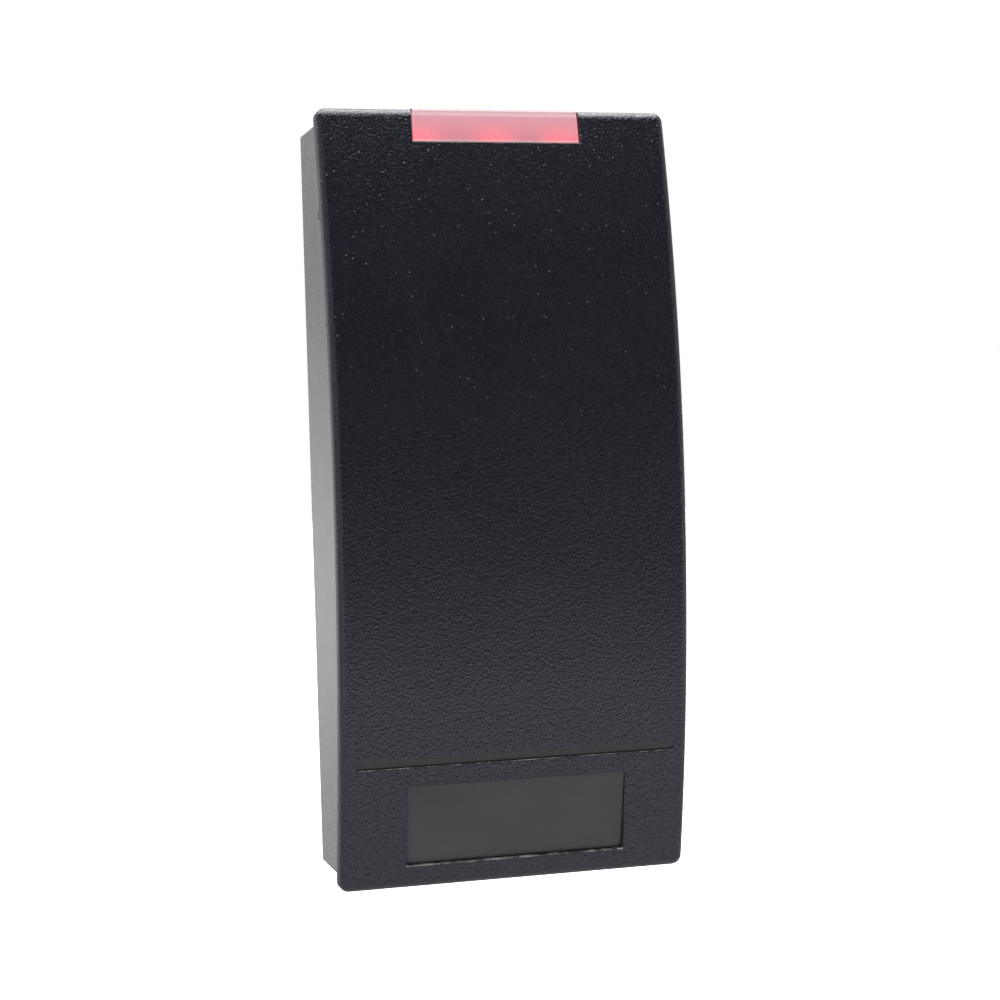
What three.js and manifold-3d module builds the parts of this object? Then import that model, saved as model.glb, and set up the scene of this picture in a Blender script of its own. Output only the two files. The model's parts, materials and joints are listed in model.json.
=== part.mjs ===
// Wall-mounted proximity card reader in the narrow door-frame format.
//
// Frame: millimetres, +Z up, +X to the right of somebody facing the reader, front towards -Y.
// Origin: centre of the mounting plate's back face, which lies flat on the wall (y = 0).
// Everything is placed by its depth, the distance in front of the wall: depth d is y = -d.
//
// The mounting plate stays on the wall. The reader hangs on the plate's two hooks, swings out at
// its foot, and is locked by a grub screw that is wound down out of the plate's lug into a hole
// in the housing's bottom wall.

import * as THREE from "three";
import { mergeVertices } from "three/addons/utils/BufferGeometryUtils.js";
import Module from "manifold-3d";

const wasm = await Module();
wasm.setup();

// ---------------------------------------------------------------- driving dimensions

const COVER_WIDTH = 47.9;
const COVER_HEIGHT = 103;
const COVER_CORNER = 1.3;
const CROWN_DEPTH = 21.4; // front of the reader at mid height
const FACE_SAGITTA = 5.6; // how far the face falls back from mid height to its ends
const EDGE_MIDDLE = 2.4; // thickness of the cover's edge at mid height
const EDGE_END = 2.9; // and at its top and bottom
const COVER_WALL = 2.2;

const HOUSING_INSET_X = 0.65; // the cover stands this far proud of the housing's sides
const HOUSING_INSET_Z = 1.55; // and this far proud of its top and bottom
const HOUSING_WALL = 1.6;
const HOUSING_CORNER = 0.25;
const HOUSING_BACK = 0.3; // the housing's back edge floats this far off the wall
const FLOOR_BACK = 3.2; // the partition between the plate's recess and the electronics
const FLOOR_FRONT = 5;

const PLATE_THICKNESS = 2.4;
const PLATE_CLEARANCE_X = 0.5;
const PLATE_CLEARANCE_Z = 0.95;

const GAP = 0.3; // left between pieces that touch
const ARC_STEP = 4.4; // longest chord along the curved face

const HALF_WIDTH = COVER_WIDTH / 2;
const HALF_HEIGHT = COVER_HEIGHT / 2;
const HOUSING_X = HALF_WIDTH - HOUSING_INSET_X;
const HOUSING_Z = HALF_HEIGHT - HOUSING_INSET_Z;
const CAVITY_X = HOUSING_X - HOUSING_WALL;
const CAVITY_Z = HOUSING_Z - HOUSING_WALL;
const PLATE_X = CAVITY_X - PLATE_CLEARANCE_X;
const PLATE_Z = CAVITY_Z - PLATE_CLEARANCE_Z;

const BOARD_BACK = 10.3;
const BOARD_FRONT = 11.9;
const PART_FLOOR = BOARD_FRONT + GAP; // where the parts on the board start

// ---------------------------------------------------------------- materials

const material = (color, roughness, metalness = 0) =>
  new THREE.MeshStandardMaterial({ color, roughness, metalness, flatShading: true });

const texturedBlack = material("#25262a", 0.55);
const satinBlack = material("#2b2b2d", 0.38);
const smoothCharcoal = material("#45454a", 0.42);
const litLens = material("#e9a0ad", 0.3);
const siliconeGrey = material("#6d6f70", 0.8);
const boardGreen = material("#14472c", 0.5);
const enamelCopper = material("#a8542a", 0.35, 0.9);
const formerWhite = material("#d9d7cf", 0.55);
const chipBlack = material("#1b1b1c", 0.6);
const ledWhite = material("#efeee6", 0.4);
const zincSteel = material("#b9bbbd", 0.32, 1);
const canAluminium = material("#c6c8ca", 0.3, 1);
const terminalGreen = material("#2d7a3a", 0.5);
const plungerWhite = material("#e4e2da", 0.45);

// ---------------------------------------------------------------- solids

// A closed three.js geometry as a manifold-3d solid.
function solid(geometry) {
  const bare = geometry.clone();
  bare.deleteAttribute("normal");
  bare.deleteAttribute("uv");
  const merged = mergeVertices(bare, 1e-4);
  const mesh = new wasm.Mesh({
    numProp: 3,
    vertProperties: merged.attributes.position.array,
    triVerts: new Uint32Array(merged.index.array),
  });
  return new wasm.Manifold(mesh);
}

// A manifold-3d solid as a three.js geometry.
function geometryOf(body) {
  const { vertProperties, triVerts } = body.getMesh();
  return new THREE.BufferGeometry()
    .setAttribute("position", new THREE.BufferAttribute(new Float32Array(vertProperties), 3))
    .setIndex(new THREE.BufferAttribute(new Uint32Array(triVerts), 1));
}

const join = (...bodies) => bodies.reduce((a, b) => a.add(b));
const cut = (body, ...tools) => tools.reduce((a, b) => a.subtract(b), body);

// A box from low to high in x, depth and z.
function box(x, depth, z) {
  const g = new THREE.BoxGeometry(x[1] - x[0], depth[1] - depth[0], z[1] - z[0]);
  g.translate((x[0] + x[1]) / 2, -(depth[0] + depth[1]) / 2, (z[0] + z[1]) / 2);
  return solid(g);
}

// A round bar along the depth axis.
function bar(radius, depth, [x, z] = [0, 0], sides = 24) {
  const g = new THREE.CylinderGeometry(radius, radius, depth[1] - depth[0], sides);
  g.translate(x, -(depth[0] + depth[1]) / 2, z);
  return solid(g);
}

// A round bar along the z axis.
function post(radius, z, [x, depth], sides = 24) {
  const g = new THREE.CylinderGeometry(radius, radius, z[1] - z[0], sides);
  g.rotateX(Math.PI / 2);
  g.translate(x, -depth, (z[0] + z[1]) / 2);
  return solid(g);
}

// A shape drawn in x and z, as a prism between two depths.
function prism(shape, depth, curveSegments = 4) {
  const options = { depth: depth[1] - depth[0], bevelEnabled: false, curveSegments };
  const g = new THREE.ExtrudeGeometry(shape, options);
  g.applyMatrix4(new THREE.Matrix4().set(1, 0, 0, 0, 0, 0, -1, -depth[0], 0, 1, 0, 0, 0, 0, 0, 1));
  return solid(g);
}

// A shape drawn in depth and z, as a prism between two values of x.
function acrossWidth(shape, x) {
  const g = new THREE.ExtrudeGeometry(shape, { depth: x[1] - x[0], bevelEnabled: false });
  g.applyMatrix4(new THREE.Matrix4().set(0, 0, -1, x[1], -1, 0, 0, 0, 0, 1, 0, 0, 0, 0, 0, 1));
  return solid(g);
}

// A rectangle with round corners in x and z.
function roundedRectangle(x, z, radius) {
  const shape = new THREE.Shape();
  const quarter = Math.PI / 2;
  const corners = [
    [x[1] - radius, z[0] + radius, -quarter],
    [x[1] - radius, z[1] - radius, 0],
    [x[0] + radius, z[1] - radius, quarter],
    [x[0] + radius, z[0] + radius, 2 * quarter],
  ];
  shape.moveTo(x[0] + radius, z[0]);
  for (const [cx, cz, start] of corners) shape.absarc(cx, cz, radius, start, start + quarter, false);
  return shape;
}

const slab = (x, z, radius, depth) => prism(roundedRectangle(x, z, radius), depth);

// A rounded frame: the outer slab less one that is `width` smaller all round.
function frame(x, z, radius, width, depth) {
  const inner = Math.max(0.2, radius - width);
  const past = [depth[0] - 1, depth[1] + 1];
  const hole = slab([x[0] + width, x[1] - width], [z[0] + width, z[1] - width], inner, past);
  return cut(slab(x, z, radius, depth), hole);
}

const both = (half) => [-half, half];

// ---------------------------------------------------------------- the curved face

const ARC_RADIUS = (HALF_HEIGHT ** 2 + FACE_SAGITTA ** 2) / (2 * FACE_SAGITTA);
const faceDepth = (z) => CROWN_DEPTH - ARC_RADIUS + Math.sqrt(ARC_RADIUS ** 2 - z ** 2);
const behindFace = (distance) => (z) => faceDepth(z) - distance;

// The solid between two depths, over a height range, right across x. A depth is a number or a
// function of z.
function band(front, back, z, x) {
  const outline = (depth) => {
    const steps = typeof depth === "number" ? 1 : Math.ceil((z[1] - z[0]) / ARC_STEP);
    return Array.from({ length: steps + 1 }, (_, i) => {
      const height = z[0] + ((z[1] - z[0]) * i) / steps;
      return new THREE.Vector2(typeof depth === "number" ? depth : depth(height), height);
    });
  };
  return acrossWidth(new THREE.Shape([...outline(front), ...outline(back).reverse()]), x);
}

const edgeThickness = (z) => EDGE_MIDDLE + (EDGE_END - EDGE_MIDDLE) * (z / HALF_HEIGHT) ** 2;
const behindRim = (distance) => (z) => faceDepth(z) - edgeThickness(z) - distance;
const rimDepth = behindRim(0);
const innerFace = behindFace(COVER_WALL);

// ---------------------------------------------------------------- fasteners

// A pan-head screw along the depth axis. Its head lies at `head` and its shank runs to `tip`.
function panScrew({ at, headRadius, shankRadius, head, tip }) {
  const [near, far] = head;
  const forwards = tip > far;
  const shank = forwards ? [far - 0.1, tip] : [tip, near + 0.1];
  const recess = forwards ? [near - 0.1, near + 0.6] : [far - 0.6, far + 0.1];
  const arm = headRadius * 0.62;
  const slot = 0.22;
  const [x, z] = at;
  return cut(
    join(bar(headRadius, head, at, 16), bar(shankRadius, shank, at, 10)),
    box([x - arm, x + arm], recess, [z - slot, z + slot]),
    box([x - slot, x + slot], recess, [z - arm, z + arm]),
  );
}

// ---------------------------------------------------------------- front cover and lens

const LENS_HALF_WIDTH = 11.37;
const LENS_DROP = 0.15; // the lens lies this far below the cover's face
const LENS_BOTTOM = 47.13;
const LENS_FLANGE_BOTTOM = 45.3;
const LENS_LEG_BOTTOM = 43;
const LENS_LEG_TOP = CAVITY_Z - GAP;

const LABEL_HALF_WIDTH = 15.05;
const LABEL_Z = [-48.35, -37.5];
const LABEL_CORNER = 0.5;
const LABEL_DROP = [0.95, 0.2]; // how far below the cover's face the nameplate lies, at its bottom and top
const LABEL_THICKNESS = 0.4;
const LABEL_REACH = [LABEL_Z[0] - 1, LABEL_Z[1] + 1]; // what the label's tilted planes span

const GROOVE_HALF_WIDTH = 21.9;
const GROOVE_TOP = -33.85;
const GROOVE_LIP = -35;
const GROOVE_DEEPEST = { z: -34.8, depth: 0.6 };

const SPIGOT_WIDTH = 1.2;
const SPIGOT_LENGTH = 2;
const SPIGOT_CORNER = 1;

const COVER_BOSS = { x: 17.8, z: 44.55, radius: 2.6, pilot: 1.15 };
const BOSS_FOOT = 6; // top of the partition's pads under the cover's bosses

const SEAL_INSET = 0.3; // from the housing's outside
const SEAL_WIDTH = 1.1;
const SEAL_HEIGHT = 0.8;

const TAB = { z: [36.9, 38.7], length: 1.2 }; // the cover's catch on each side

const coverOutline = slab(both(HALF_WIDTH), both(HALF_HEIGHT), COVER_CORNER, [0, CROWN_DEPTH + 1]);
const bosses = [-1, 1].flatMap((sx) => [-1, 1].map((sz) => [sx * COVER_BOSS.x, sz * COVER_BOSS.z]));

// The nameplate's tilted planes, counted from its face.
function behindLabel(distance) {
  const slope = (LABEL_DROP[1] - LABEL_DROP[0]) / (LABEL_Z[1] - LABEL_Z[0]);
  return (z) => faceDepth(z) - LABEL_DROP[0] - slope * (z - LABEL_Z[0]) - distance;
}

// The groove that the seal lies in, widened by `spare` all round.
function sealRing(spare, bottom, top) {
  const x = both(HOUSING_X - SEAL_INSET + spare);
  const z = both(HOUSING_Z - SEAL_INSET + spare);
  const ring = frame(x, z, 0.8, SEAL_WIDTH + 2 * spare, [0, CROWN_DEPTH]);
  return ring.intersect(band(behindRim(-top), behindRim(-bottom), both(HALF_HEIGHT), both(HALF_WIDTH)));
}

const sealGroove = sealRing(GAP, -1, SEAL_HEIGHT + GAP);

function frontCover() {
  const plate = band(faceDepth, rimDepth, both(HALF_HEIGHT), both(HALF_WIDTH)).intersect(coverOutline);
  const hollowX = both(CAVITY_X - GAP - SPIGOT_WIDTH);
  const hollowZ = both(CAVITY_Z - GAP - SPIGOT_WIDTH);
  const hollow = slab(hollowX, hollowZ, SPIGOT_CORNER, [0, CROWN_DEPTH]);
  const underWall = band(innerFace, 0, both(HALF_HEIGHT), both(HALF_WIDTH));

  const spigotTube = frame(both(CAVITY_X - GAP), both(CAVITY_Z - GAP), SPIGOT_CORNER, SPIGOT_WIDTH, [0, CROWN_DEPTH]);
  const spigotReach = behindRim(SPIGOT_LENGTH);
  const spigot = spigotTube.intersect(band(innerFace, spigotReach, both(HALF_HEIGHT), both(HALF_WIDTH)));

  const bossRods = bosses.map((at) =>
    bar(COVER_BOSS.radius, [BOSS_FOOT + GAP, CROWN_DEPTH], at).intersect(
      band(behindFace(COVER_WALL - 0.2), 0, both(HALF_HEIGHT), both(HALF_WIDTH)),
    ),
  );
  const pilots = bosses.map((at) => bar(COVER_BOSS.pilot, [BOSS_FOOT, 13.6], at, 12));

  const tabs = [-1, 1].map((side) => {
    const outer = side * HALF_WIDTH;
    const inner = side * (HALF_WIDTH - HOUSING_INSET_X / 2);
    const x = [Math.min(outer, inner), Math.max(outer, inner)];
    return band(behindRim(-0.3), behindRim(TAB.length), TAB.z, x);
  });

  const notchX = both(LENS_HALF_WIDTH + GAP);
  const lensNotch = box(notchX, [0, CROWN_DEPTH], [LENS_BOTTOM - GAP, HALF_HEIGHT + 1]);
  const flangePocket = band(behindFace(1), 0, [LENS_FLANGE_BOTTOM - GAP, LENS_BOTTOM], notchX);
  const legPocket = band(innerFace, 0, [LENS_LEG_BOTTOM - GAP, LENS_BOTTOM], notchX);

  const labelOutline = slab(both(LABEL_HALF_WIDTH), LABEL_Z, LABEL_CORNER, [0, CROWN_DEPTH + 1]);
  const labelRecess = labelOutline.intersect(
    band(behindFace(-1), behindLabel(LABEL_THICKNESS + GAP), LABEL_REACH, both(HALF_WIDTH)),
  );

  const grooveShape = new THREE.Shape([
    new THREE.Vector2(faceDepth(GROOVE_TOP), GROOVE_TOP),
    new THREE.Vector2(faceDepth(GROOVE_DEEPEST.z) - GROOVE_DEEPEST.depth, GROOVE_DEEPEST.z),
    new THREE.Vector2(faceDepth(GROOVE_LIP), GROOVE_LIP),
    new THREE.Vector2(CROWN_DEPTH, GROOVE_LIP),
    new THREE.Vector2(CROWN_DEPTH, GROOVE_TOP),
  ]);
  const groove = acrossWidth(grooveShape, both(GROOVE_HALF_WIDTH));

  const shell = join(cut(plate, hollow.intersect(underWall), sealGroove), spigot, ...bossRods, ...tabs);
  return cut(shell, ...pilots, lensNotch, flangePocket, legPocket, labelRecess, groove);
}

function lightBarLens() {
  const x = both(LENS_HALF_WIDTH);
  const visible = band(behindFace(LENS_DROP), rimDepth, [LENS_BOTTOM, HALF_HEIGHT], x).intersect(coverOutline);
  const flange = band(behindFace(1.3), rimDepth, [LENS_FLANGE_BOTTOM, LENS_BOTTOM + 1], x);
  const leg = band(behindFace(2.4), behindFace(3.4), [LENS_LEG_BOTTOM, LENS_LEG_TOP], both(LENS_HALF_WIDTH - 0.6));
  return join(cut(join(visible, flange), sealGroove), leg);
}

function nameplate() {
  const margin = GAP + 0.05;
  const z = [LABEL_Z[0] + margin, LABEL_Z[1] - margin];
  const outline = slab(both(LABEL_HALF_WIDTH - margin), z, LABEL_CORNER - margin, [0, CROWN_DEPTH]);
  return outline.intersect(band(behindLabel(0), behindLabel(LABEL_THICKNESS), LABEL_REACH, both(HALF_WIDTH)));
}

const coverSeal = () => sealRing(0, 0, SEAL_HEIGHT);

// ---------------------------------------------------------------- mounting plate and lock

const HOOK_X = 9.3;
const HOOK_HALF_WIDTH = 3;
const HOOK = { bottom: 42, throat: 44.5, kink: 45.5, top: 47, back: 5.3, backAtTop: 5.9, front: 7.4 };

const LUG = { halfWidth: 4, bottom: -PLATE_Z, top: 6 - PLATE_Z, front: 6.6 };
const LOCK = { depth: 3.6, radius: 1.4, bore: 1.65, length: 5 };

const CABLE_OPENING = { halfWidth: 12.5, z: [-25.5, -8] };
const WALL_SLOT = { z: [-30, 30], length: 9, width: 4.8 };
const PLUNGER_AT = [13, 10];
const PLUNGER_WINDOW = 3;

function mountingPlate() {
  const sheet = slab(both(PLATE_X), both(PLATE_Z), 1.5, [0, PLATE_THICKNESS]);
  const hookShape = new THREE.Shape([
    new THREE.Vector2(PLATE_THICKNESS - 0.5, HOOK.bottom),
    new THREE.Vector2(HOOK.front, HOOK.bottom),
    new THREE.Vector2(HOOK.front, HOOK.top),
    new THREE.Vector2(HOOK.backAtTop, HOOK.top),
    new THREE.Vector2(HOOK.back, HOOK.kink),
    new THREE.Vector2(HOOK.back, HOOK.throat),
    new THREE.Vector2(PLATE_THICKNESS - 0.5, HOOK.throat),
  ]);
  const hooks = [-HOOK_X, HOOK_X].map((x) => acrossWidth(hookShape, [x - HOOK_HALF_WIDTH, x + HOOK_HALF_WIDTH]));
  const lug = box(both(LUG.halfWidth), [0.2, LUG.front], [LUG.bottom, LUG.top]);
  const lockBore = post(LOCK.bore, [LUG.bottom - 1, LUG.top + 1], [0, LOCK.depth]);
  const through = [-1, PLATE_THICKNESS + 1];
  const cableOpening = slab(both(CABLE_OPENING.halfWidth), CABLE_OPENING.z, 2, through);
  const slots = WALL_SLOT.z.map((z) => {
    const half = WALL_SLOT.width / 2;
    return slab(both(WALL_SLOT.length / 2), [z - half, z + half], half - 0.01, through);
  });
  const window = bar(PLUNGER_WINDOW, through, PLUNGER_AT);
  return cut(join(sheet, ...hooks, lug), lockBore, cableOpening, ...slots, window);
}

// A grub screw with a socket for the key in its lower end.
function lockScrew() {
  const bottom = LUG.bottom + GAP;
  const shank = post(LOCK.radius, [bottom, bottom + LOCK.length], [0, LOCK.depth]);
  const socket = post(0.8, [bottom - 1, bottom + 1.6], [0, LOCK.depth], 6);
  return cut(shank, socket);
}

// ---------------------------------------------------------------- rear housing

const HOOK_POCKET = { spare: 0.7, wall: 1, bottom: 38.6, slotTop: 45.8, top: 47.7, front: 8.2 };
const LUG_POCKET = { spare: 0.6, wall: 1, top: LUG.top + 0.7, front: 7.2 };
const WIRING_WELL = { halfWidth: 15.2, z: [-27, -9.6], collar: 1.2 };
const BOARD_POST = { x: 17.3, z: 36, radius: 2.2, pilot: 0.9 };
const boardPosts = [-1, 1].flatMap((sx) => [-1, 1].map((sz) => [sx * BOARD_POST.x, sz * BOARD_POST.z]));
const COVER_SCREW = { headRadius: 2, shankRadius: 1, head: [2.95, 4.1], tip: 13, counterbore: 2.4, hole: 1.3 };
const PLUNGER = { radius: 1.2, tip: 0.3, end: 8.8, collarRadius: 1.9, collar: [7.8, 8.8], hole: 1.7 };

function rearHousing() {
  const outside = slab(both(HOUSING_X), both(HOUSING_Z), HOUSING_CORNER, [HOUSING_BACK, CROWN_DEPTH]).intersect(
    band(behindRim(GAP), 0, both(HALF_HEIGHT), both(HALF_WIDTH)),
  );
  const front = slab(both(CAVITY_X), both(CAVITY_Z), SPIGOT_CORNER, [FLOOR_FRONT, CROWN_DEPTH]);
  const recess = slab(both(CAVITY_X), both(CAVITY_Z), SPIGOT_CORNER, [0, FLOOR_BACK]);
  const tray = cut(outside, front, recess);

  const hookCentres = [-HOOK_X, HOOK_X];
  const hookX = (x, spare) => [x - HOOK_HALF_WIDTH - spare, x + HOOK_HALF_WIDTH + spare];
  const behindFloor = FLOOR_BACK - 1;
  const hookPockets = hookCentres.map((x) => {
    const p = HOOK_POCKET;
    return box(hookX(x, p.spare + p.wall), [FLOOR_FRONT - 0.2, p.front + p.wall], [p.bottom - p.wall, CAVITY_Z + 0.2]);
  });
  const hookHollows = hookCentres.map((x) => {
    const p = HOOK_POCKET;
    const slot = box(hookX(x, p.spare), [behindFloor, FLOOR_FRONT + 0.1], [p.bottom, p.slotTop]);
    return join(slot, box(hookX(x, p.spare), [FLOOR_FRONT, p.front], [p.bottom, p.top]));
  });

  const lugX = LUG.halfWidth + LUG_POCKET.spare;
  const lugPocket = box(
    both(lugX + LUG_POCKET.wall),
    [FLOOR_FRONT - 0.2, LUG_POCKET.front + LUG_POCKET.wall],
    [-CAVITY_Z - 0.2, LUG_POCKET.top + LUG_POCKET.wall],
  );
  const lugHollow = box(both(lugX), [behindFloor, LUG_POCKET.front], [-CAVITY_Z, LUG_POCKET.top]);
  const lockHole = post(LOCK.bore + 0.15, [-HOUSING_Z - 1, -CAVITY_Z + 1], [0, LOCK.depth]);

  const well = WIRING_WELL;
  const collarX = both(well.halfWidth + well.collar);
  const collarZ = [well.z[0] - well.collar, well.z[1] + well.collar];
  const collar = slab(collarX, collarZ, 1.5, [FLOOR_FRONT - 0.2, BOARD_BACK - GAP]);
  const wellHollow = slab(both(well.halfWidth), well.z, 0.6, [behindFloor, BOARD_BACK]);

  const pads = bosses.map((at) => bar(COVER_BOSS.radius + 0.8, [FLOOR_FRONT - 0.2, BOSS_FOOT], at));
  const counterbores = bosses.map((at) => bar(COVER_SCREW.counterbore, [behindFloor, 4.4], at));
  const coverHoles = bosses.map((at) => bar(COVER_SCREW.hole, [behindFloor, BOSS_FOOT + 1], at, 12));

  const posts = boardPosts.map((at) => bar(BOARD_POST.radius, [FLOOR_FRONT - 0.2, BOARD_BACK - GAP], at, 20));
  const pilots = boardPosts.map((at) => bar(BOARD_POST.pilot, [FLOOR_FRONT + 0.4, BOARD_BACK], at, 12));
  const plungerHole = bar(PLUNGER.hole, [behindFloor, FLOOR_FRONT + 1], PLUNGER_AT, 20);

  const body = join(tray, ...hookPockets, lugPocket, collar, ...pads, ...posts);
  const inside = [...hookHollows, lugHollow, wellHollow];
  return cut(body, ...inside, lockHole, ...counterbores, ...coverHoles, ...pilots, plungerHole);
}

// ---------------------------------------------------------------- electronics

const BOARD_HALF_WIDTH = 20.3;
const BOARD_HALF_HEIGHT = 39;
const LED_TONGUE = { halfWidth: 13.4, top: 46.3 };

function mainBoard() {
  const body = slab(both(BOARD_HALF_WIDTH), both(BOARD_HALF_HEIGHT), 1, [BOARD_BACK, BOARD_FRONT]);
  const tongue = slab(both(LED_TONGUE.halfWidth), [BOARD_HALF_HEIGHT - 2, LED_TONGUE.top], 0.8, [BOARD_BACK, BOARD_FRONT]);
  const holes = boardPosts.map((at) => bar(1.3, [BOARD_BACK - 1, BOARD_FRONT + 1], at, 16));
  return cut(join(body, tongue), ...holes);
}

const COIL = { halfWidth: 18.6, z: [-29, 33], corner: 5, width: 2.3, depth: [13.3, 15.3] };

function antennaFormer() {
  const grow = 0.2;
  const flangeX = both(COIL.halfWidth + grow);
  const flangeZ = [COIL.z[0] - grow, COIL.z[1] + grow];
  const flange = frame(flangeX, flangeZ, COIL.corner, COIL.width + GAP + 1.2, [PART_FLOOR, PART_FLOOR + 0.8]);
  const wallIn = COIL.width + GAP;
  const wallX = both(COIL.halfWidth - wallIn);
  const wallZ = [COIL.z[0] + wallIn, COIL.z[1] - wallIn];
  const wall = frame(wallX, wallZ, COIL.corner - wallIn, 1, [PART_FLOOR, COIL.depth[1] + 0.3]);
  return join(flange, wall);
}

const antennaCoil = () => frame(both(COIL.halfWidth), COIL.z, COIL.corner, COIL.width, COIL.depth);

// A moulded chip with straight leads along two or four sides.
function chip({ at, width, height, thickness, leads, pitch, fourSides = false }) {
  const [x, z] = at;
  const lift = 0.1;
  const bodyDepth = [PART_FLOOR + lift, PART_FLOOR + lift + thickness];
  const leadDepth = [PART_FLOOR, PART_FLOOR + lift + 0.15];
  const reach = 0.9;
  const half = pitch * 0.22;
  const body = box([x - width / 2, x + width / 2], bodyDepth, [z - height / 2, z + height / 2]);
  const offsets = Array.from({ length: leads }, (_, i) => (i - (leads - 1) / 2) * pitch);
  const sideways = offsets.map((o) =>
    box([x - width / 2 - reach, x + width / 2 + reach], leadDepth, [z + o - half, z + o + half]),
  );
  const upright = fourSides
    ? offsets.map((o) => box([x + o - half, x + o + half], leadDepth, [z - height / 2 - reach, z + height / 2 + reach]))
    : [];
  return join(body, ...sideways, ...upright);
}

function canCapacitor([x, z]) {
  const base = box([x - 2.6, x + 2.6], [PART_FLOOR, PART_FLOOR + 0.9], [z - 2.6, z + 2.6]);
  return join(base, bar(2.5, [PART_FLOOR + 0.5, PART_FLOOR + 4.2], [x, z], 20));
}

function statusLed([x, z]) {
  const body = box([x - 1.6, x + 1.6], [PART_FLOOR, PART_FLOOR + 0.9], [z - 1.4, z + 1.4]);
  return cut(body, bar(1.05, [PART_FLOOR + 0.6, PART_FLOOR + 2], [x, z], 16));
}

function buzzer([x, z]) {
  const body = bar(6, [PART_FLOOR, PART_FLOOR + 3.8], [x, z], 32);
  return cut(body, bar(1.1, [PART_FLOOR + 2.8, PART_FLOOR + 5], [x, z], 16));
}

function crystal([x, z]) {
  const base = slab([x - 5.6, x + 5.6], [z - 2.4, z + 2.4], 2.3, [PART_FLOOR, PART_FLOOR + 0.5]);
  return join(base, slab([x - 5.1, x + 5.1], [z - 1.9, z + 1.9], 1.85, [PART_FLOOR + 0.3, PART_FLOOR + 3.4]));
}

function regulator([x, z]) {
  const body = box([x - 3.3, x + 3.3], [PART_FLOOR + 0.1, PART_FLOOR + 2.3], [z - 3, z + 3]);
  const heatTab = box([x - 2.7, x + 2.7], [PART_FLOOR, PART_FLOOR + 0.5], [z + 2, z + 4.4]);
  const legs = [-2.3, 2.3].map((o) => box([x + o - 0.35, x + o + 0.35], [PART_FLOOR, PART_FLOOR + 0.5], [z - 5, z - 2]));
  return join(body, heatTab, ...legs);
}

function powerInductor([x, z]) {
  const base = slab([x - 3, x + 3], [z - 3, z + 3], 0.8, [PART_FLOOR, PART_FLOOR + 1]);
  return join(base, bar(2.6, [PART_FLOOR + 0.5, PART_FLOOR + 2.8], [x, z], 20));
}

const TERMINAL = { positions: 8, pitch: 3.5, halfHeight: 3.5, z: -14.4, back: 3.6, wellRadius: 1.5, wellFloor: 6.4 };
const terminalX = Array.from(
  { length: TERMINAL.positions },
  (_, i) => (i - (TERMINAL.positions - 1) / 2) * TERMINAL.pitch,
);

function terminalBlock() {
  const halfWidth = (TERMINAL.positions * TERMINAL.pitch) / 2 + 0.4;
  const z = [TERMINAL.z - TERMINAL.halfHeight, TERMINAL.z + TERMINAL.halfHeight];
  const body = box(both(halfWidth), [TERMINAL.back, BOARD_BACK - GAP], z);
  const wells = terminalX.map((x) =>
    bar(TERMINAL.wellRadius, [TERMINAL.back - 1, TERMINAL.wellFloor], [x, TERMINAL.z + 0.8], 16),
  );
  const entries = terminalX.map((x) => box([x - 1.2, x + 1.2], [6.9, 9.3], [z[0] - 1, z[0] + 3]));
  return cut(body, ...wells, ...entries);
}

function terminalScrew(x) {
  const z = TERMINAL.z + 0.8;
  const depth = [TERMINAL.back + 0.5, TERMINAL.wellFloor - GAP];
  const slot = box([x - 2, x + 2], [depth[0] - 1, depth[0] + 0.6], [z - 0.22, z + 0.22]);
  return cut(bar(1.2, depth, [x, z], 14), slot);
}

const SWITCH_HALF = 3;

function tamperSwitch() {
  const [x, z] = PLUNGER_AT;
  const depth = [FLOOR_FRONT + GAP, BOARD_BACK - GAP];
  const body = box([x - SWITCH_HALF, x + SWITCH_HALF], depth, [z - SWITCH_HALF, z + SWITCH_HALF]);
  const mouth = bar(PLUNGER.radius + GAP, [depth[0] - 1, 6.1], PLUNGER_AT, 20);
  const chamber = bar(PLUNGER.collarRadius + GAP, [6, 9.4], PLUNGER_AT, 20);
  return cut(body, mouth, chamber);
}

function tamperPlunger() {
  const rod = bar(PLUNGER.radius, [PLUNGER.tip, PLUNGER.end], PLUNGER_AT, 20);
  return join(rod, bar(PLUNGER.collarRadius, PLUNGER.collar, PLUNGER_AT, 20));
}

// ---------------------------------------------------------------- the assembly

const reader = new THREE.Group();
reader.name = "card_reader";

function place(group, name, body, look) {
  const mesh = new THREE.Mesh(geometryOf(body), look);
  mesh.name = name;
  group.add(mesh);
}

const wallSide = new THREE.Group();
place(wallSide, "mounting_plate", mountingPlate(), satinBlack);
place(wallSide, "lock_screw", lockScrew(), zincSteel);

const shell = new THREE.Group();
place(shell, "rear_housing", rearHousing(), satinBlack);
place(shell, "front_cover", frontCover(), texturedBlack);
place(shell, "light_bar_lens", lightBarLens(), litLens);
place(shell, "nameplate", nameplate(), smoothCharcoal);
place(shell, "cover_seal", coverSeal(), siliconeGrey);
bosses.forEach((at, i) => place(shell, `cover_screw_${i + 1}`, panScrew({ at, ...COVER_SCREW }), zincSteel));

const electronics = new THREE.Group();
const boardScrew = { headRadius: 1.9, shankRadius: 0.75, head: [PART_FLOOR, PART_FLOOR + 1.2], tip: 6 };
place(electronics, "main_board", mainBoard(), boardGreen);
boardPosts.forEach((at, i) => place(electronics, `board_screw_${i + 1}`, panScrew({ at, ...boardScrew }), zincSteel));
place(electronics, "antenna_former", antennaFormer(), formerWhite);
place(electronics, "antenna_coil", antennaCoil(), enamelCopper);
[-9, 0, 9].forEach((x, i) => place(electronics, `status_led_${i + 1}`, statusLed([x, 44.4]), ledWhite));
place(electronics, "buzzer", buzzer([-6.5, -15]), chipBlack);

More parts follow.
